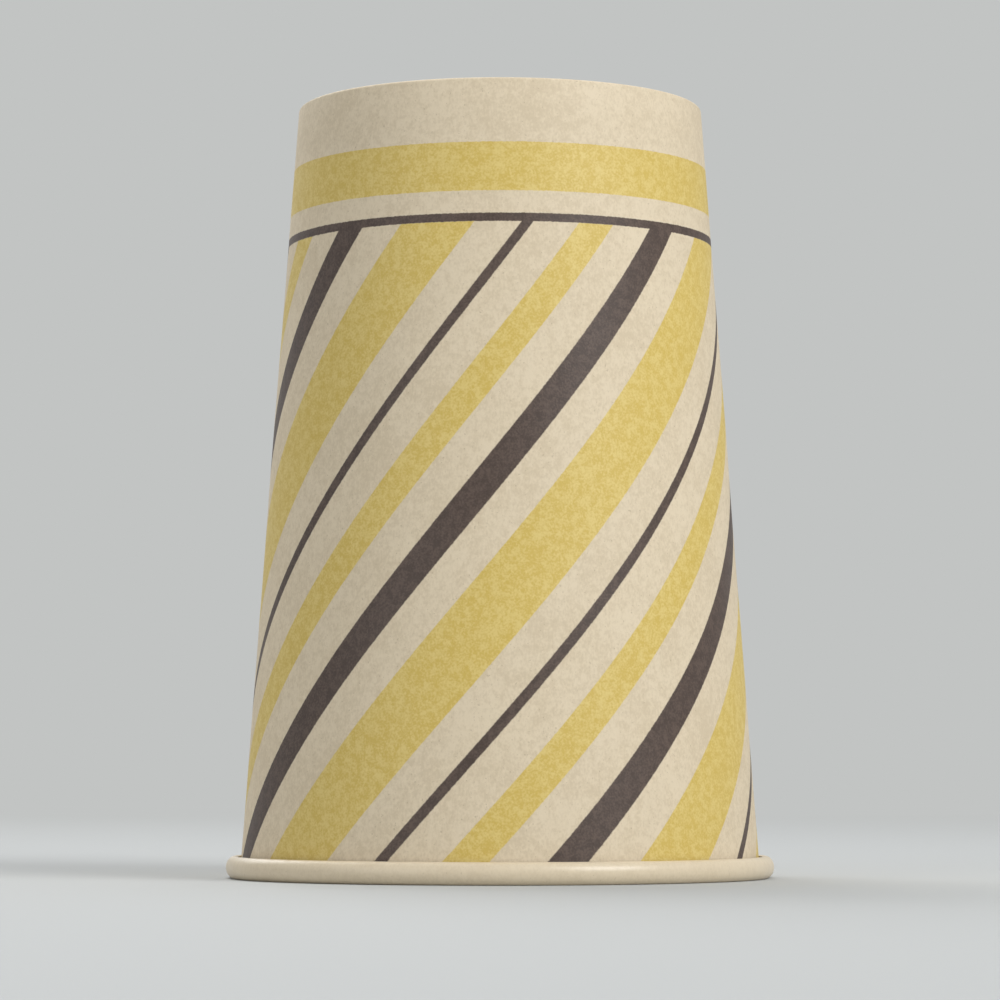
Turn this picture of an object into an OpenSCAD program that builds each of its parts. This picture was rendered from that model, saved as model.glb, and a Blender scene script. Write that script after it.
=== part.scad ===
// A paper cup for hot drinks, standing upside down on its rolled rim.
// It is two pieces of paperboard. The sidewall is one flat blank, wrapped round and lapped at the side seam,
// rolled outwards at the rim, and tucked in at the base. The bottom disc is a shallow tray with a turned-up
// flange, which is clamped between the wall and the tuck. The mouth is at z = 0 and the base is at z = cup_h.

/* [Cup] */
// Height from the rim to the edge of the base
cup_h = 113; // [70:1:170]
// Outside diameter of the rolled rim
rim_d = 80; // [72:1:96]
// Outside diameter of the wall at the base
base_d = 59.5; // [46:0.5:66]

/* [Paperboard] */
// Thickness of the sidewall board
wall_t = 0.38; // [0.28:0.01:0.46]
// Thickness of the bottom board
bottom_t = 0.34; // [0.26:0.01:0.46]

/* [Rolled rim] */
// Width of the roll, across the wall
curl_w = 2.5; // [2.3:0.05:3.2]
// Height of the roll, along the wall
curl_h = 3.2; // [2.8:0.05:4]
// How far the board turns round in the roll, in degrees
curl_turn = 285; // [240:5:302]

/* [Base] */
// Depth of the bottom disc below the edge of the base
recess = 8; // [6:0.5:16]
// Bend radius of the board at the edge of the base
fold_r = 0.28; // [0.24:0.01:0.32]
// Bend radius between the disc and its flange
disc_r = 1.1; // [0.8:0.1:1.6]
// How far the tucked-in wall stops short of that bend
tuck_gap = 1; // [0.4:0.1:2]
// How far the flange stops short of the fold
flange_gap = 0.4; // [0.3:0.05:1]
// Glue gap on each side of the flange
glue_gap = 0.02; // [0.01:0.01:0.05]

/* [Side seam] */
// Width of the glued lap at mid height
lap_w = 7; // [5:0.5:10]
// Place of the lap round the cup, in degrees from +X
seam_angle = 112; // [0:1:359]
// Share of the inner ply's cut edge that stays open inside
edge_share = 0.8; // [0.5:0.05:0.9]

/* [Hidden] */
$fn = 96;

half_t = wall_t / 2;

// The roll is an ellipse, followed along the middle of the board.
curl_c = [rim_d / 2 - curl_w / 2, curl_h / 2];
curl_a = curl_w / 2 - half_t;
curl_b = curl_h / 2 - half_t;
curl_steps = 26;

// The two plies at the base, with the flange between them, and the fold that joins them.
ply_pitch = wall_t + bottom_t + 2 * glue_gap;
fold_z = cup_h - half_t - fold_r;
fold_steps = 5;
wall_base_r = base_d / 2 - half_t;

// Heights of the bottom disc and of the end of its bend, along the middle of its board.
disc_z = cup_h - recess - bottom_t / 2;
corner_z = disc_z + disc_r;
corner_steps = 8;

// Lean of the wall, and where it runs into the roll without a kink.
lean = atan((curl_c.x - curl_a - wall_base_r) / (fold_z - curl_c.y));
curl_start = 180 + atan(curl_b / curl_a * tan(lean));

// Radius of the middle of the wall at height z.
rim_point = curl_c + [curl_a * cos(curl_start), curl_b * sin(curl_start)];
base_point = [wall_base_r - fold_r + fold_r * cos(lean), fold_z + fold_r * sin(lean)];
function wall_r(z) = rim_point.x + (base_point.x - rim_point.x) * (z - rim_point.y) / (base_point.y - rim_point.y);
level_t = wall_t / cos(lean);

// Points along an ellipse, and a list turned round.
function arc(c, a, b, from, to, steps) =
    [for (i = [0:steps]) let (q = from + (to - from) * i / steps) c + [a * cos(q), b * sin(q)]];
function turned(list) = [for (i = [len(list) - 1:-1:0]) list[i]];

// The middle of the board, from its free edge inside the roll, up the wall, over the fold and down the tuck.
roll_path = turned(arc(curl_c, curl_a, curl_b, curl_start, curl_start + curl_turn, curl_steps));
outer_fold = arc([wall_base_r - fold_r, fold_z], fold_r, fold_r, lean, 90, fold_steps);
inner_fold = arc([wall_base_r - ply_pitch + fold_r, fold_z], fold_r, fold_r, 90, 180 + lean, fold_steps);
tuck_top = inner_fold[fold_steps];
tuck_h = fold_z - corner_z - tuck_gap;
tuck_end = tuck_top + tuck_h * [tan(lean), -1];
board_path = concat(roll_path, outer_fold, inner_fold, [tuck_end]);

// The bottom disc: from the axis along the disc, round its corner and up the flange.
flange_in = (half_t + glue_gap + bottom_t / 2) / cos(lean);
function flange_r(z) = wall_r(z) - flange_in;
corner_c = [flange_r(corner_z) - disc_r / cos(lean), corner_z];
corner = arc(corner_c, disc_r, disc_r, -90, lean, corner_steps);
flange_end_z = fold_z - flange_gap;
disc_path = concat([[0, disc_z]], corner, [[flange_r(flange_end_z), flange_end_z]]);

// Direction across the board at each point of a path, on the side that is outside on the wall.
function across(path, i) =
    let (a = path[max(i - 1, 0)], b = path[min(i + 1, len(path) - 1)], d = b - a) [d.y, -d.x] / norm(d);
function side(path, dist) = [for (i = [0:len(path) - 1]) path[i] + dist * across(path, i)];

// A strip of board along a path, between two distances from its middle.
module board(path, from, to) {
    polygon(concat(side(path, from), turned(side(path, to))));
}

// Lap: the outer ply lies on the inner one all the way, so it is outside on the wall and inside in the roll.
// It stops one thickness short of the tuck's edge, and at the fold the plies are pressed down to one level.
lap_mid_r = wall_r(cup_h / 2);
lap_angle = lap_w / lap_mid_r * 180 / PI;
lap_end = tuck_top + (tuck_h - wall_t) * [tan(lean), -1];
lap_path = concat([for (i = [1:len(board_path) - 2]) board_path[i]], [lap_end]);
lap_reach = rim_d / 2;

module lap() {
    intersection() {
        rotate([0, 0, seam_angle])
            rotate_extrude(angle = lap_angle)
                board(lap_path, 0, half_t + wall_t);
        cylinder(h = cup_h, r = lap_reach);
    }
}

// Where the outer ply climbs over the cut edge of the inner one it runs straight, off the round of the wall.
// The angle it takes for that, at a radius.
function climb(r, rise) = acos(r / (r + rise));
function spot(r, angle, z) = [r * cos(angle), r * sin(angle), z];

// How far the climbing ply reaches into the wall under it, so that the two are one solid.
sink = 0.02;

// A bar between two levels, from the same number of corners at each.
module bar(low, high) {
    n = len(low);
    polyhedron(
        points = concat(low, high),
        faces = concat([[for (i = [0:n - 1]) i]], [[for (i = [n - 1:-1:0]) n + i]],
            [for (i = [0:n - 1]) let (j = (i + 1) % n) each [[j, i, n + i], [j, n + i, n + j]]])
    );
}

function climb_corners(z) =
    let (r = wall_r(z) + level_t / 2 - sink, rise = level_t + sink)
    [spot(r - half_t, seam_angle, z), spot(r + rise, seam_angle, z), spot(r, seam_angle - climb(r, rise), z)];

module climbing_ply() {
    bar(climb_corners(rim_point.y), climb_corners(fold_z));
}

// Behind the climb the inner face steps out, and the inner ply's cut edge shows as a line up the inside.
function groove_corners(z) =
    let (r = wall_r(z) - level_t / 2, rise = edge_share * level_t, back = seam_angle - climb(r, rise))
    [spot(r - wall_t, seam_angle, z), spot(r + rise, seam_angle, z), spot(r, back, z), spot(r - wall_t, back, z)];

module edge_groove() {
    bar(groove_corners(rim_point.y), groove_corners(disc_z));
}

module sidewall() {
    color("ivory")
        difference() {
            union() {
                rotate_extrude() board(board_path, -half_t, half_t);
                lap();
                climbing_ply();
            }
            edge_groove();
        }
}

module bottom_disc() {
    color("antiquewhite")
        rotate_extrude()
            board(disc_path, -bottom_t / 2, bottom_t / 2);
}

sidewall();
bottom_disc();
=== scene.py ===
# %% [markdown]
# A paper cup for hot drinks, standing upside down on its rolled rim. The real cup is two pieces of board: a
# printed blank that is wrapped, lapped and rolled into the sidewall, and a round of board drawn into a
# shallow tray for the bottom. The measured model is loaded first and stays as the frame. The pieces made
# here stand in the same place, in metres, and give the cup its paper, its print, its cut edges and its
# seam.

# %% Load the measured cup
import math

import bpy
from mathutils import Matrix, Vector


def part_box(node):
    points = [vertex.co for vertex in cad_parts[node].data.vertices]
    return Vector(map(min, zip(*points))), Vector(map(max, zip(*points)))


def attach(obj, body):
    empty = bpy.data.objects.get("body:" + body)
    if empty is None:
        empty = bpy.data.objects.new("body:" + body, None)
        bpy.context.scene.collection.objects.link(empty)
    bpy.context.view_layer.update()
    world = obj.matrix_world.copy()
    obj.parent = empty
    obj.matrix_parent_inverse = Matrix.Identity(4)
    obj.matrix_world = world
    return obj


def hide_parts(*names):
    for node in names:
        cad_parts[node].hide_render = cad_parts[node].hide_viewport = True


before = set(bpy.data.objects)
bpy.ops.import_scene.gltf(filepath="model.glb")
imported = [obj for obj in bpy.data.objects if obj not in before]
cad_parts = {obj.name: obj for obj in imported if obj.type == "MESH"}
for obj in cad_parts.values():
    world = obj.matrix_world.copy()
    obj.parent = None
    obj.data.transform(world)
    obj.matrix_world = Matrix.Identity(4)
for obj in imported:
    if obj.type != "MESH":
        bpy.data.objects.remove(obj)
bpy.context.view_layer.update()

# %% [markdown]
# The main sizes come from the measured pieces. The height and the rim's radius are the sides of the
# sidewall's box. The radius of the wall at the base isn't a side of any box, so it is the reach of the
# points in the last millimetre, on the half of the cup that has no seam. Board thicknesses and bend radii
# are those of the board.

# %% Take the main sizes from the frame
MM = 0.001


def reach(node, low, high):
    """Largest distance from the axis of a piece's points between two heights, on the half with no seam."""
    points = [v.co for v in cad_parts[node].data.vertices]
    return max(math.hypot(p.x, p.y) for p in points if p.y < 0 and low <= p.z <= high)


CUP_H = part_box("sidewall")[1].z
RIM_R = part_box("sidewall")[1].x
BASE_R = reach("sidewall", CUP_H - 1 * MM, CUP_H)
DISC_IN, DISC_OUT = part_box("bottom_disc")[0].z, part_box("bottom_disc")[1].z
BOARD = 0.38 * MM
BOTTOM_BOARD = 0.34 * MM
GLUE_GAP = 0.02 * MM
SEAM_ANGLE = math.radians(112)
print("height, rim and base radius in mm:", [round(size / MM, 2) for size in (CUP_H, RIM_R, BASE_R)])

# %% [markdown]
# The camera comes next, because it sets how fine the work has to be. The photograph was taken from a little
# over half a metre, level with the rim, so the rim looks straight and the base's edge curves upwards. Here
# the lens stands a little higher, so that the floor shows under the rim. A long lens then fills the frame.

# %% Set up the camera
CAMERA_AWAY = 14.25 * RIM_R
CAMERA_H = 16 * MM
FRAME_MARGIN = 1.3
target_h = 0.49 * CUP_H

bpy.ops.object.select_all(action="DESELECT")
bpy.ops.object.camera_add(location=(0, -CAMERA_AWAY, CAMERA_H))
camera = bpy.context.object
camera.rotation_euler = (math.pi / 2 + math.atan2(target_h - CAMERA_H, CAMERA_AWAY), 0, 0)
camera.data.sensor_width = 36
camera.data.lens = camera.data.sensor_width * CAMERA_AWAY / (FRAME_MARGIN * CUP_H)
camera.data.clip_start = 0.01
bpy.context.scene.camera = camera
bpy.context.scene.view_settings.view_transform = "Standard"
print("lens:", round(camera.data.lens, 1), "mm")

# %% [markdown]
# The floor is one sheet of pale card that sweeps up into a backdrop, so there is no line behind the cup. It
# is a plane whose far edge is extruded upwards, and the crease is bevelled into a wide bend.

# %% Make the floor and its backdrop
FLOOR_SIZE = 6.0
BACKDROP_H = 2.5
SWEEP_R = 1.0


def pick(obj, choose, kind="vertices"):
    """Selects only the vertices, edges or faces of a mesh that choose() accepts, and opens it for editing."""
    if bpy.context.object and bpy.context.object.mode != "OBJECT":
        bpy.ops.object.mode_set(mode="OBJECT")
    bpy.ops.object.select_all(action="DESELECT")
    bpy.context.view_layer.objects.active = obj
    obj.select_set(True)
    modes = {"vertices": "VERT", "edges": "EDGE", "faces": "FACE"}
    bpy.ops.object.mode_set(mode="EDIT")
    bpy.ops.mesh.select_mode(type=modes[kind])
    bpy.ops.mesh.select_all(action="DESELECT")
    bpy.ops.object.mode_set(mode="OBJECT")
    for part in getattr(obj.data, kind):
        part.select = choose(part)
    bpy.ops.object.mode_set(mode="EDIT")


def place(obj):
    """Ends the editing and moves an object's place into its mesh, so that the object sits at the origin."""
    bpy.ops.object.mode_set(mode="OBJECT")
    bpy.ops.object.select_all(action="DESELECT")
    bpy.context.view_layer.objects.active = obj
    obj.select_set(True)
    bpy.ops.object.transform_apply(location=True, rotation=True, scale=True)


def edge_ends(obj, edge):
    """The two end points of an edge."""
    return [obj.data.vertices[i].co for i in edge.vertices]


bpy.ops.object.select_all(action="DESELECT")
bpy.ops.mesh.primitive_plane_add(size=FLOOR_SIZE)
floor = bpy.context.object
floor.name = "floor"
pick(floor, lambda e: all(p.y > FLOOR_SIZE / 4 for p in edge_ends(floor, e)), "edges")
bpy.ops.mesh.extrude_region_move(TRANSFORM_OT_translate={"value": (0, 0, BACKDROP_H)})
pick(floor, lambda e: all(p.y > FLOOR_SIZE / 4 and p.z < SWEEP_R / 2 for p in edge_ends(floor, e)), "edges")
bpy.ops.mesh.bevel(offset=SWEEP_R, segments=24)
place(floor)
bpy.ops.object.shade_smooth()
print("floor faces:", len(floor.data.polygons))

# %% [markdown]
# The light is a plain soft studio: a large lamp at the front right, as in the photograph, where the right
# side of the cup is the brighter one, a weaker one on the left, one above for the top edge and one behind,
# so that the seam's side isn't dark. The world fills in the shade. Together they light the board at a level
# where its colour shows about as it is written.

# %% Hang the lamps
SKY = (0.93, 0.96, 1.0, 1)
SKY_STRENGTH = 0.44


def lamp(name, place_m, size_m, watts):
    """Adds a square soft lamp that points at the middle of the cup."""
    bpy.ops.object.select_all(action="DESELECT")
    bpy.ops.object.light_add(type="AREA", location=place_m)
    light = bpy.context.object
    light.name = name
    light.data.size = size_m
    light.data.energy = watts
    aim = light.location.copy()
    aim.z -= CUP_H / 2
    light.rotation_euler = aim.to_track_quat("Z", "Y").to_euler()
    return light


lamp("key_lamp", place_m=(0.75, -0.65, 0.75), size_m=0.6, watts=9.6)
lamp("fill_lamp", place_m=(-0.9, -0.8, 0.45), size_m=0.9, watts=2.3)
lamp("top_lamp", place_m=(-0.1, 0.35, 1.0), size_m=0.7, watts=3.2)
lamp("rear_lamp", place_m=(-0.5, 0.95, 0.9), size_m=0.9, watts=6.4)

world = bpy.data.worlds.new("studio")
bpy.context.scene.world = world
world.use_nodes = True
sky = world.node_tree.nodes["Background"]
sky.inputs["Color"].default_value = SKY
sky.inputs["Strength"].default_value = SKY_STRENGTH

# %% [markdown]
# The sidewall starts as a line: the section of the board, drawn along the middle of its thickness. The roll
# at the rim is a circle that is squeezed into an oval, with the arc next to the wall taken out, because a
# real roll stays open there. From the arc's end the line is extruded up the wall.

# %% Draw the rolled rim's section
ROLL_W, ROLL_H = 2.5 * MM, 3.2 * MM
ROLL_POINTS = 72
ROLL_TURN = 57
FOLD_R = 0.28 * MM

roll_a, roll_b = (ROLL_W - BOARD) / 2, (ROLL_H - BOARD) / 2
roll_x, roll_z = RIM_R - ROLL_W / 2, ROLL_H / 2
wall_top = BASE_R - BOARD / 2
fold_z = CUP_H - BOARD / 2 - FOLD_R
lean = math.atan((roll_x - roll_a - wall_top) / (fold_z - roll_z))
roll_start = math.pi + math.atan(roll_b / roll_a * math.tan(lean))

bpy.ops.object.select_all(action="DESELECT")
upright = (math.pi / 2, math.pi / 2 - roll_start, 0)
bpy.ops.mesh.primitive_circle_add(vertices=ROLL_POINTS, radius=1, rotation=upright)
wall = bpy.context.object
wall.name = "cup_wall"
place(wall)
pick(wall, lambda v: True)
bpy.ops.transform.resize(value=(roll_a, 1, roll_b), center_override=(0, 0, 0))
bpy.ops.transform.translate(value=(roll_x, 0, roll_z))
pick(wall, lambda v: v.index > ROLL_TURN)
bpy.ops.mesh.delete(type="VERT")
print("points in the roll:", ROLL_TURN + 1, "lean of the wall:", round(math.degrees(lean), 2))

# %% [markdown]
# At the base the board folds over the bottom disc's flange and goes back down inside it. Each round of the
# fold is a spin of the line's last point, a few short steps about the bend's centre, with a small flat
# between them that is as wide as the flange and its glue need.

# %% Extrude the wall and fold it in at the base
WALL_ROWS = 24
FOLD_ROWS = 4
TUCK_ROWS = 6
DISC_R = 1.1 * MM
TUCK_GAP = 1.0 * MM


def step_on(value):
    """Extrudes the selected point by a step."""
    bpy.ops.mesh.extrude_region_move(TRANSFORM_OT_translate={"value": value})


ply_pitch = BOARD + BOTTOM_BOARD + 2 * GLUE_GAP
disc_z = DISC_IN + BOTTOM_BOARD / 2
tuck_h = fold_z - disc_z - DISC_R - TUCK_GAP
outer_bend = (wall_top - FOLD_R, 0, fold_z)
inner_bend = (wall_top - ply_pitch + FOLD_R, 0, fold_z)
bpy.ops.object.mode_set(mode="OBJECT")
start = wall.data.vertices[0].co.copy()
wall_end = (outer_bend[0] + FOLD_R * math.cos(lean), 0, fold_z + FOLD_R * math.sin(lean))
wall_step = [(b - a) / WALL_ROWS for a, b in zip(start, wall_end)]

pick(wall, lambda v: v.index == 0)
for row in range(WALL_ROWS):
    step_on(wall_step)
bpy.ops.mesh.spin(steps=FOLD_ROWS, angle=math.pi / 2 - lean, center=outer_bend, axis=(0, 1, 0))
step_on((2 * FOLD_R - ply_pitch, 0, 0))
bpy.ops.mesh.spin(steps=FOLD_ROWS, angle=math.pi / 2 + lean, center=inner_bend, axis=(0, 1, 0))
for row in range(TUCK_ROWS):
    step_on((math.tan(lean) * tuck_h / TUCK_ROWS, 0, -tuck_h / TUCK_ROWS))
bpy.ops.object.mode_set(mode="OBJECT")

line = [v.co.copy() for v in wall.data.vertices]
order = list(range(ROLL_TURN, -1, -1)) + list(range(ROLL_TURN + 1, len(line)))
print("points in the section:", len(line), "end:", [round(c / MM, 2) for c in line[-1]])

# %% [markdown]
# Spinning the line round the axis wraps the blank. It goes round once and twelve degrees more, which is the
# lap, about seven millimetres wide. The blank's own flat coordinates are kept as a UV map, because the
# print is put on the board before it is wrapped: across is counted in turns, and up in shares of the wall's
# length. The line was drawn both ways from one point, so its faces are made to agree, with the printed side
# outwards.

# %% Wrap the blank round the cup
TURN_COLUMNS = 360
LAP_COLUMNS = 12
rows = len(line)
columns = TURN_COLUMNS + LAP_COLUMNS

pick(wall, lambda v: True)
wrap_angle = -2 * math.pi * columns / TURN_COLUMNS
bpy.ops.mesh.spin(steps=columns, angle=wrap_angle, center=(0, 0, 0), axis=(0, 0, 1))
bpy.ops.mesh.select_all(action="SELECT")
bpy.ops.mesh.normals_make_consistent(inside=False)
bpy.ops.object.mode_set(mode="OBJECT")
wall_face = next(f for f in wall.data.polygons if abs(f.center.z - CUP_H / 2) < CUP_H / WALL_ROWS)
if wall_face.normal.dot(wall_face.center) < 0:
    pick(wall, lambda f: True, "faces")
    bpy.ops.mesh.flip_normals()
    bpy.ops.object.mode_set(mode="OBJECT")

distance = {order[0]: 0.0}
for before, after in zip(order, order[1:]):
    distance[after] = distance[before] + (line[after] - line[before]).length
wall_start = distance[0]
wall_length = distance[ROLL_TURN + WALL_ROWS] - wall_start
blank = wall.data.uv_layers.new(name="Blank")
for loop in wall.data.loops:
    column, row = divmod(loop.vertex_index, rows)
    blank.data[loop.index].uv = (column / TURN_COLUMNS, (distance[row] - wall_start) / wall_length)
print("wrapped points:", len(wall.data.vertices), "length of the wall in mm:", round(wall_length / MM, 1))

# %% [markdown]
# At the lap the outer ply lies on the inner one. Its columns are moved out along their normals by one
# thickness of board, and the columns before it run straight, off the round of the wall, to climb over the
# inner ply's cut edge. In the roll the same move goes inwards, as it does on a real rim. At the fold the
# plies are pressed to one level, so that the cup stands flat.

# %% Lap the side seam
PLY_GAP = 0.01 * MM
PRESS_COLUMNS = 5


def column_of(vertex):
    """Which column of the wrapped blank a point belongs to."""
    return vertex.index // rows


def row_of(vertex):
    """Which point of the section line a point was spun from."""
    return vertex.index % rows


def raise_columns(first, last, height):
    """Moves whole columns of the blank along their normals."""
    pick(wall, lambda v: first <= column_of(v) <= last)
    bpy.ops.transform.shrink_fatten(value=height)


def press_fold(first, last, ceiling):
    """Presses the fold of some columns down to one height."""
    pick(wall, lambda v: first <= column_of(v) <= last and v.co.z > ceiling)
    bpy.ops.transform.resize(value=(1, 1, 0), center_override=(0, 0, ceiling))


mid_r = (roll_x - roll_a + wall_top) / 2
ply_rise = BOARD + PLY_GAP
climb_angle = math.acos(mid_r / (mid_r + ply_rise))
climb_start = TURN_COLUMNS * (1 - climb_angle / (2 * math.pi))
for column in range(math.ceil(climb_start), TURN_COLUMNS):
    past = (column - climb_start) * 2 * math.pi / TURN_COLUMNS
    raise_columns(column, column, mid_r / math.cos(past) - mid_r)
raise_columns(TURN_COLUMNS, columns, ply_rise)

fold_top = CUP_H - BOARD / 2
press_fold(math.ceil(climb_start), columns, fold_top)
for column in range(LAP_COLUMNS + PRESS_COLUMNS):
    let_up = max(0, column - LAP_COLUMNS) / PRESS_COLUMNS
    press_fold(column, column, fold_top - ply_rise * (1 - let_up))
bpy.ops.object.mode_set(mode="OBJECT")
print("climb in degrees:", round(math.degrees(climb_angle), 1))

# %% [markdown]
# The hem is sealed by a heated, ribbed tool that leaves a row of pressed marks round the inside of the
# base. Every third column of the tucked-in board is moved in by a fifth of a millimetre. The wall itself is
# never quite even either, so a Displace modifier with soft clouds moves it by up to a tenth, held back
# by a vertex group to nothing at the rim, and at the base, where the wall lies on the bottom's flange.

# %% Press the hem and unsettle the wall
RIB_EVERY = 3
RIB_DEPTH = 0.2 * MM
UNEVEN = 0.28 * MM
CLOUD_SIZE = 32 * MM
HELD_ROWS = 2
EASE = 0.6

tuck_first = rows - TUCK_ROWS
pick(wall, lambda v: row_of(v) >= tuck_first and column_of(v) % RIB_EVERY == 0)
bpy.ops.transform.shrink_fatten(value=RIB_DEPTH)
bpy.ops.object.mode_set(mode="OBJECT")

free = wall.vertex_groups.new(name="free_wall")
for vertex in wall.data.vertices:
    share = (row_of(vertex) - ROLL_TURN) / (WALL_ROWS - HELD_ROWS)
    if 0 < share < 1:
        free.add([vertex.index], math.sin(math.pi * share) ** EASE, "REPLACE")
clouds = bpy.data.textures.new("board_clouds", "CLOUDS")
clouds.noise_scale = CLOUD_SIZE
clouds.noise_depth = 1
uneven = wall.modifiers.new("uneven", "DISPLACE")
uneven.texture = clouds
uneven.texture_coords = "LOCAL"
uneven.vertex_group = "free_wall"
uneven.strength = UNEVEN
bpy.ops.object.modifier_apply(modifier="uneven")
print("hem ribs:", columns // RIB_EVERY)

# %% [markdown]
# Solidify gives the sheet its thickness, half to each side of the line. It also sorts the faces: the
# printed side keeps the first material, the film-lined side takes the second, and the cut edges the third.
# The piece needs its three slots before that, because Solidify never counts past the last slot. Last, the
# wall is turned so that its seam lies where the measured one does.

# %% Give the sidewall its thickness
NEAR, FAR, CUT = range(3)
SMOOTH_BELOW = math.radians(40)


def thicken(piece, thickness):
    """Turns a sheet into board, with its own material for the far side and for the cut edges."""
    bpy.context.view_layer.objects.active = piece
    while len(piece.material_slots) <= CUT:
        bpy.ops.object.material_slot_add()
    solid = piece.modifiers.new("board", "SOLIDIFY")
    solid.thickness = thickness
    solid.offset = 0
    solid.material_offset = FAR - NEAR
    solid.material_offset_rim = CUT - NEAR
    bpy.ops.object.modifier_apply(modifier="board")


thicken(wall, BOARD)
wall.rotation_euler.z = SEAM_ANGLE
place(wall)
bpy.ops.object.shade_smooth_by_angle(angle=SMOOTH_BELOW)
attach(wall, "root")
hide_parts("sidewall")
print("sidewall faces:", len(wall.data.polygons))

# %% [markdown]
# The bottom is a round of board drawn into a tray. It starts as a small disc, and its outer edge is
# extruded ring by ring: out across the flat, which sags a little towards the middle, round the corner, and
# up the flange to just under the fold. Drawing a flat round into a tray gathers the board at the corner,
# which shows as fine pleats, so every other point there is moved in a trace.

# %% Draw the bottom disc out ring by ring
DISC_POINTS = 240
FIRST_RING = 2 * MM
FLAT_RINGS = 9
CORNER_RINGS = 8
FLANGE_RINGS = 3
DISC_SAG = 0.3 * MM
PLEAT = 0.035 * MM


def wall_r(height):
    """Radius of the middle of the sidewall's board at a height."""
    share = (height - start[2]) / (wall_end[2] - start[2])
    return start[0] + share * (wall_end[0] - start[0])


flange_in = (BOARD / 2 + GLUE_GAP + BOTTOM_BOARD / 2) / math.cos(lean)
corner_z = disc_z + DISC_R
corner_x = wall_r(corner_z) - flange_in - DISC_R / math.cos(lean)
flange_top = DISC_OUT - BOTTOM_BOARD / 2 * math.sin(lean)


def sag(radius):
    """How far the flat of the disc hangs below its edge at a radius."""
    return DISC_SAG * (1 - (radius / corner_x) ** 2)


flat = [FIRST_RING + (corner_x - FIRST_RING) * i / FLAT_RINGS for i in range(FLAT_RINGS + 1)]
rings = [(radius, disc_z - sag(radius)) for radius in flat]
for i in range(1, CORNER_RINGS + 1):
    bend = -math.pi / 2 + (math.pi / 2 + lean) * i / CORNER_RINGS
    rings.append((corner_x + DISC_R * math.cos(bend), corner_z + DISC_R * math.sin(bend)))
bend_end = rings[-1][1]
for i in range(1, FLANGE_RINGS + 1):
    height = bend_end + (flange_top - bend_end) * i / FLANGE_RINGS
    rings.append((wall_r(height) - flange_in, height))

bpy.ops.object.select_all(action="DESELECT")
bpy.ops.mesh.primitive_circle_add(
    vertices=DISC_POINTS, radius=rings[0][0], fill_type="TRIFAN", location=(0, 0, rings[0][1])
)
disc = bpy.context.object
disc.name = "cup_bottom"
place(disc)
pick(disc, lambda v: math.hypot(v.co.x, v.co.y) > FIRST_RING / 2)
for (r_in, z_in), (r_out, z_out) in zip(rings, rings[1:]):
    bpy.ops.mesh.extrude_region_move(TRANSFORM_OT_translate={"value": (0, 0, z_out - z_in)})
    bpy.ops.transform.resize(value=(r_out / r_in, r_out / r_in, 1), center_override=(0, 0, z_out))
bpy.ops.object.mode_set(mode="OBJECT")
print("bottom rings:", len(rings), "radius at the flange in mm:", round(rings[-1][0] / MM, 2))

# %% Pleat the corner and give the bottom its thickness


def on_corner(vertex):
    """Whether a point lies on the round between the disc and its flange."""
    return math.hypot(vertex.co.x, vertex.co.y) > corner_x + DISC_R / 3 and vertex.co.z < corner_z + DISC_R


def every_other(vertex):
    """Whether a point is on an even spoke of the disc."""
    spoke = round(math.atan2(vertex.co.y, vertex.co.x) / (2 * math.pi) * DISC_POINTS)
    return spoke % 2 == 0


pick(disc, lambda v: on_corner(v) and every_other(v))
bpy.ops.transform.resize(value=(1 - PLEAT / corner_x, 1 - PLEAT / corner_x, 1), center_override=(0, 0, 0))
pick(disc, lambda v: True)
bpy.ops.mesh.normals_make_consistent(inside=False)
bpy.ops.object.mode_set(mode="OBJECT")
thicken(disc, BOTTOM_BOARD)
place(disc)
bpy.ops.object.shade_smooth_by_angle(angle=SMOOTH_BELOW)
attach(disc, "root")
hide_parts("bottom_disc")
print("bottom faces:", len(disc.data.polygons))

# %% [markdown]
# Paper has no single colour: it has fibres, clouds and specks, and ink lies unevenly on it. These are sums
# of noise, so the materials are written as maths. A small class wraps a node's output, and adding,
# subtracting or multiplying two of them adds the Math node that does it. Every other node comes from one
# method.

# %% Write shader maths as Python


class Signal:
    """A number that runs through a material's nodes."""

    def __init__(self, finish, socket):
        self.finish = finish
        self.socket = socket

    def maths(self, operation, first, second):
        """Adds one Math node."""
        return self.finish.node("Math", {"operation": operation}, {0: first, 1: second}).out("Value")

    def __add__(self, other):
        return self.maths("ADD", self, other)

    __radd__ = __add__

    def __sub__(self, other):
        return self.maths("SUBTRACT", self, other)

    def __rsub__(self, other):
        return self.maths("SUBTRACT", other, self)

    def __mul__(self, other):
        return self.maths("MULTIPLY", self, other)

    __rmul__ = __mul__

    def fraction(self):
        """What is left of a number after its whole part."""
        return self.finish.node("Math", {"operation": "FRACT"}, {0: self}).out("Value")

    def rise(self, low, high):
        """0 below low, 1 above high, and a soft step between them."""
        settings = {"interpolation_type": "SMOOTHSTEP"}
        inputs = {"Value": self, "From Min": low, "From Max": high}
        return self.finish.node("MapRange", settings, inputs).out("Result")

    def band(self, low, high, soft):
        """1 between two values, with soft edges, and 0 outside them."""
        return self.rise(low - soft, low + soft) - self.rise(high - soft, high + soft)


print("number maths ready")

# %% [markdown]
# A material is made node by node. One method adds any node, sets what it is told and fills or links its
# sockets, and the others are the few steps that every finish of this cup repeats: noise, a blend of two
# colours, and a rough surface at the end.

# %% Build a material from its nodes


class Step:
    """One node of a material."""

    def __init__(self, finish, node):
        self.finish = finish
        self.node = node

    def out(self, name):
        """One of its outputs, by name or number."""
        return Signal(self.finish, self.node.outputs[name])


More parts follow.
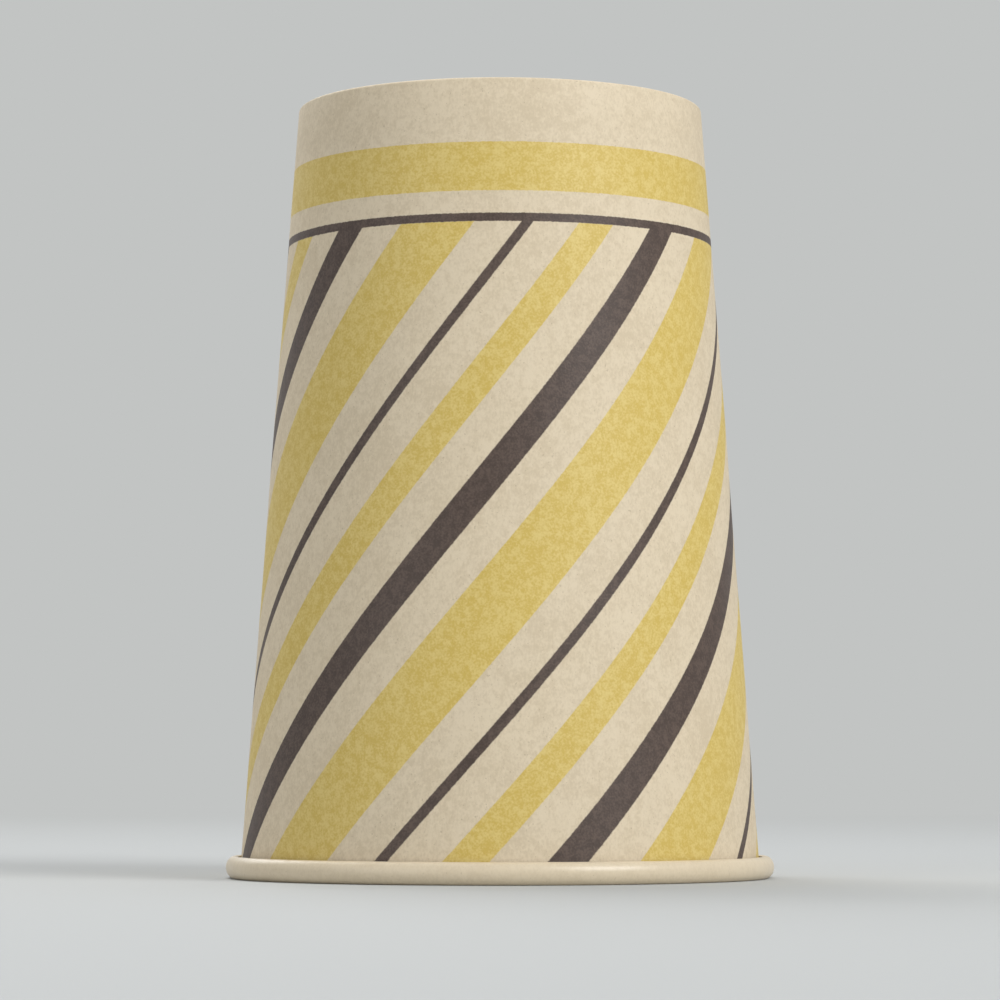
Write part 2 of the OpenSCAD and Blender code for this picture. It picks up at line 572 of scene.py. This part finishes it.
class Finish:
    """A material, made from its nodes up."""

    def __init__(self, name):
        self.material = bpy.data.materials.new(name)
        self.material.use_nodes = True
        self.tree = self.material.node_tree
        self.tree.nodes.clear()

    def node(self, kind, settings, inputs):
        """Adds a node, sets what it is told, then fills or links its inputs."""
        made = self.tree.nodes.new("ShaderNode" + kind)
        for key, value in settings.items():
            setattr(made, key, value)
        for key, value in inputs.items():
            if isinstance(value, Signal):
                self.tree.links.new(value.socket, made.inputs[key])
            else:
                made.inputs[key].default_value = value
        return Step(self, made)

    def noise(self, size, detail=2.0, stretch=(1, 1, 1)):
        """Cloudy noise with lumps of about a size, from 0 to 1, which may be drawn out along an axis."""
        place_on = self.node("TexCoord", {}, {}).out("Object")
        scaled = self.node("Mapping", {}, {"Vector": place_on, "Scale": stretch}).out("Vector")
        inputs = {"Vector": scaled, "Scale": 1 / size, "Detail": detail}
        return self.node("TexNoise", {}, inputs).out(0)

    def mix(self, share, low, high):
        """Blends two colours."""
        return self.node("Mix", {"data_type": "RGBA"}, {0: share, 6: low, 7: high}).out(2)

    def board(self, sockets, height, depth):
        """Ends the material in a shader whose surface is roughened by a height, in metres."""
        bump = self.node("Bump", {}, {"Strength": 1.0, "Distance": depth, "Height": height}).out("Normal")
        shader = self.node("BsdfPrincipled", {}, {"Normal": bump, **sockets}).out("BSDF")
        self.node("OutputMaterial", {}, {"Surface": shader})


def paint(red, green, blue):
    """A colour as a screen shows it, 0 to 255, turned into the linear numbers that shaders use."""
    shares = [c / 255 for c in (red, green, blue)]
    return [(c / 12.92 if c < 0.04045 else ((c + 0.055) / 1.055) ** 2.4) for c in shares] + [1]


print("colour maths ready")

# %% [markdown]
# The board is a warm off-white. Broad clouds and drawn-out fibres shift its colour by a few hundredths, and
# a few dark specks are scattered in it. The same fibres give the surface its tooth through a Bump node.

# %% Describe the bare board
PAPER = paint(223, 207, 179)
PAPER_DEEP = paint(210, 193, 164)
SPECK = paint(164, 143, 113)
PATCH_SIZE, FLECK_SIZE, FIBRE_SIZE, SPECK_SIZE = 8 * MM, 1.1 * MM, 0.3 * MM, 0.34 * MM
DRAWN_UP = (1, 1, 0.7)
SPECK_SHOWS = 0.45
TOOTH = 0.03 * MM


def bare_board(finish, mottle=1.0):
    """Colour and height of unprinted board, more or less mottled."""
    patches = finish.noise(PATCH_SIZE, 2)
    flecks = finish.noise(FLECK_SIZE, 3)
    fibres = finish.noise(FIBRE_SIZE, 4, DRAWN_UP)
    shade = (patches * 0.25 + flecks * 0.35 + fibres * 0.4).rise(0.4, 0.62)
    colour = finish.mix(shade * mottle, PAPER, PAPER_DEEP)
    specks = finish.noise(SPECK_SIZE, 1).rise(0.69, 0.78)
    return finish.mix(specks * (SPECK_SHOWS * mottle), colour, SPECK), fibres


# %% [markdown]
# The print is a plain pattern of mustard and brown: a ring near the base, a thin line under it, and
# slanting stripes that repeat evenly round the cup. It is worked out on the blank's own coordinates. A
# stripe is a band of the phase, which is turns less height, so the stripes climb as they go round. A little
# noise in the phase makes the ink's edge uneven, and noise of two sizes thins the ink in places, as on
# uncoated board. The blank was printed flat, so at the seam the print meets itself a trace out of place.

# %% Print the blank
MUSTARD = paint(207, 178, 84)
MUSTARD_THIN = paint(221, 197, 118)
BROWN = paint(62, 46, 40)
BROWN_THIN = paint(86, 69, 61)
REPEATS = 4
CLIMB = 1.7
STRIPES = [("mustard", 0.22), ("brown", 0.034), ("mustard", 0.11), ("brown", 0.098)]
RING = (9 * MM, 16 * MM)
LINE = (19.2 * MM, 20.4 * MM)
SEAM_SLIP, SEAM_SKEW = 0.6 * MM, 0.3 * MM
BLEED, BLEED_SIZE = 0.22 * MM, 0.4 * MM
INK_EDGE = 0.06 * MM
INK_GRAIN, INK_PATCH = 0.3 * MM, 1.2 * MM
MUSTARD_COVER, BROWN_COVER = 0.96, 0.97
PAPER_ROUGH, INK_SMOOTHS, ROUGH_SPREAD = 0.66, 0.14, 0.12

printed = Finish("printed_board")
paper, fibres = bare_board(printed)
flat_place = printed.node("UVMap", {"uv_map": "Blank"}, {}).out("UV")
axes = printed.node("SeparateXYZ", {}, {"Vector": flat_place})
turns, up = axes.out("X"), axes.out("Y")
from_base = (1 - up) * wall_length
bleed = (printed.noise(BLEED_SIZE, 3) - 0.5) * BLEED
period = 2 * math.pi * mid_r / REPEATS
phase = (turns * (REPEATS - SEAM_SLIP / period) - up * CLIMB + bleed * (1 / period)).fraction()

soft = 2 * INK_EDGE / period
gap = (1 - sum(width for ink, width in STRIPES)) / len(STRIPES)
masks = {"mustard": [], "brown": []}
begin = gap / 2
for ink, width in STRIPES:
    masks[ink].append(phase.band(begin, begin + width, soft))
    begin += width + gap
level = from_base + bleed + turns * SEAM_SKEW
slants = level.rise(LINE[1] - INK_EDGE, LINE[1] + INK_EDGE)
mustard = sum(masks["mustard"][1:], masks["mustard"][0]) * slants + level.band(*RING, INK_EDGE)
brown = sum(masks["brown"][1:], masks["brown"][0]) * slants + level.band(*LINE, INK_EDGE)

thin = (printed.noise(INK_GRAIN, 3) * 0.5 + printed.noise(INK_PATCH, 3) * 0.5).rise(0.38, 0.64)
mustard_ink = printed.mix(thin, MUSTARD, MUSTARD_THIN)
brown_ink = printed.mix(thin, BROWN, BROWN_THIN)
colour = printed.mix(mustard * MUSTARD_COVER, paper, mustard_ink)
colour = printed.mix(brown * BROWN_COVER, colour, brown_ink)
rough = PAPER_ROUGH - (mustard + brown) * INK_SMOOTHS + (fibres - 0.5) * ROUGH_SPREAD
printed.board({"Base Color": colour, "Roughness": rough}, fibres, TOOTH)
print("stripe period at mid height in mm:", round(period / MM, 1))

# %% [markdown]
# The other side of the board carries a thin film, which is smoother and takes a soft shine. It is the side
# that shows on the rolled rim, because the board turns outwards there. The cut edges show bare fibres, a
# little darker and rougher. The bottom disc is of like board, with its film towards the drink, where it is
# sealed to the wall's own film, so the side that shows in the base is plain.

# %% Finish the film side, the cut edges and the bottom
FILM_ROUGH, BARE_ROUGH, CUT_ROUGH = 0.34, 0.7, 0.85
FILM_MOTTLE = 0.55
FILM_WAVE, LAYER = 1.6 * MM, 0.12 * MM
CUT_PALE, CUT_DEEP = paint(214, 200, 172), paint(186, 168, 136)


def film_board(name):
    """Board under a thin film."""
    finish = Finish(name)
    colour, fibres = bare_board(finish, FILM_MOTTLE)
    waves = finish.noise(FILM_WAVE, 2)
    rough = FILM_ROUGH + (waves - 0.5) * 0.1
    height = fibres * 0.6 + waves * 0.4
    finish.board({"Base Color": colour, "Roughness": rough}, height, 0.02 * MM)
    return finish.material


def plain_board(name):
    """Uncoated board."""
    finish = Finish(name)
    colour, fibres = bare_board(finish)
    rough = BARE_ROUGH + (fibres - 0.5) * 0.1
    finish.board({"Base Color": colour, "Roughness": rough}, fibres, TOOTH)
    return finish.material


def cut_edge(name):
    """The cut edge of board: layered fibres."""
    finish = Finish(name)
    layers = finish.noise(LAYER, 3)
    colour = finish.mix(layers.rise(0.3, 0.7), CUT_PALE, CUT_DEEP)
    finish.board({"Base Color": colour, "Roughness": CUT_ROUGH}, layers, 0.04 * MM)
    return finish.material


film = film_board("film_board")
edge_fibres = cut_edge("cut_edge")
plain = plain_board("plain_board")
finishes = {wall: (printed.material, film, edge_fibres), disc: (film, plain, edge_fibres)}
for piece, materials in finishes.items():
    for place_in, material in zip(piece.material_slots, materials):
        place_in.material = material
print("sides finished:", sum(len(materials) for materials in finishes.values()))

# %% [markdown]
# The card looks plain behind the cup and still takes its shadow. Near the cup it is a lit surface. Further
# off it turns into one pale colour that glows by itself, mixed in by the distance from the cup, and only
# for what the camera, a gloss or a clear material sees, so that it throws no light on the cup.

# %% Finish the floor
CARD = paint(186, 188, 187)
FAR_CARD = paint(194, 196, 195)
CARD_ROUGH = 0.8
FADE = (0.12, 0.85)

card = Finish("floor_card")
lit = card.node("BsdfPrincipled", {}, {"Base Color": CARD, "Roughness": CARD_ROUGH}).out("BSDF")
even = card.node("Emission", {}, {"Color": FAR_CARD, "Strength": 1.0}).out("Emission")
rays = card.node("LightPath", {}, {})
seen = rays.out("Is Camera Ray") + rays.out("Is Glossy Ray") + rays.out("Is Transmission Ray")
spot = card.node("TexCoord", {}, {}).out("Object")
away = card.node("VectorMath", {"operation": "LENGTH"}, {0: spot}).out("Value")
share = away.rise(*FADE) * seen
shown = card.node("MixShader", {}, {0: share, 1: lit, 2: even}).out("Shader")
card.node("OutputMaterial", {}, {"Surface": shown})
floor.data.materials.append(card.material)
print("materials:", [m.name for m in bpy.data.materials if m.users])

# %% Update the scene
bpy.context.view_layer.update()
